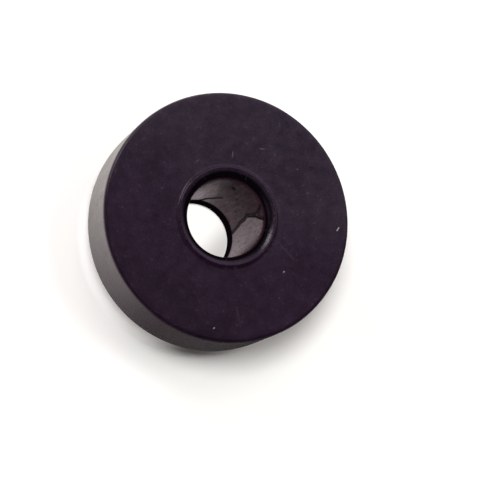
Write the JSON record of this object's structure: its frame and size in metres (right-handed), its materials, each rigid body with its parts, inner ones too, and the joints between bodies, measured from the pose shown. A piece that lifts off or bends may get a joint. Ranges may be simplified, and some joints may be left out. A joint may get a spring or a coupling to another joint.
{
  "type": "transmission mount bushing",
  "caption": "Thick round rubber mount bushing with a narrower centring pilot underneath, a through bore and a low raised bead round its flared mouth.",
  "frame": {"origin": "centre of the bore on the pilot's free end", "axes": "+Z along the bore's axis, from the pilot towards the front face; X and Y are free, because the part is round"},
  "size_m": [0.0508, 0.0508, 0.0274],
  "materials": {
    "rubber": "as-moulded black rubber, faintly purple, with a smooth satin skin that turns grey where it is seen edge-on"
  },
  "bodies": {
    "root": {"bushing": "rubber"}
  },
  "joints": []
}
